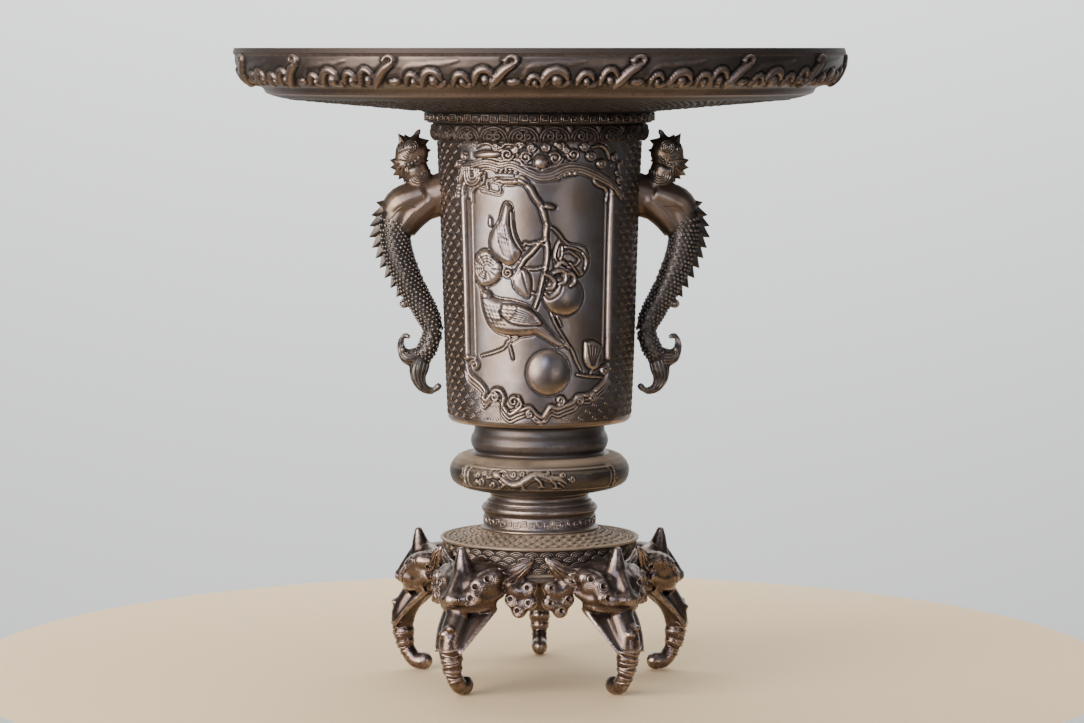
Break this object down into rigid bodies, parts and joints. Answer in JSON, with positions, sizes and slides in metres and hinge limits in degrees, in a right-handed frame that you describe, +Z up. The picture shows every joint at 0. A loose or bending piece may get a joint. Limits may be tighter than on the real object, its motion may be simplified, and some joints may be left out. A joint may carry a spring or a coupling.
{
  "type": "bronze usubata vase",
  "caption": "Cast bronze usubata flower vessel: wide dish on a tall relief cylinder with dragon-fish handles, on a drum stand with elephant-head legs.",
  "frame": {"origin": "centre of the footprint, on the floor under the vase's axis", "axes": "+Z up along the vase's axis; -Y is the front, with the birds and persimmons; the handles stand on -X and +X"},
  "size_m": [0.318, 0.318, 0.3301],
  "materials": {
    "brown_bronze": "patinated",
    "dark_bronze": "patinated",
    "dusty_bronze": "patinated",
    "grey_bronze": "patinated"
  },
  "bodies": {
    "root": {"dish": "dark_bronze", "body": "brown_bronze", "stand": "dusty_bronze", "handle_left": "grey_bronze", "handle_right": "grey_bronze", "elephant_leg_1": "dark_bronze", "elephant_leg_2": "dark_bronze", "elephant_leg_3": "dark_bronze", "elephant_leg_4": "dark_bronze", "elephant_leg_5": "dark_bronze"}
  },
  "joints": []
}
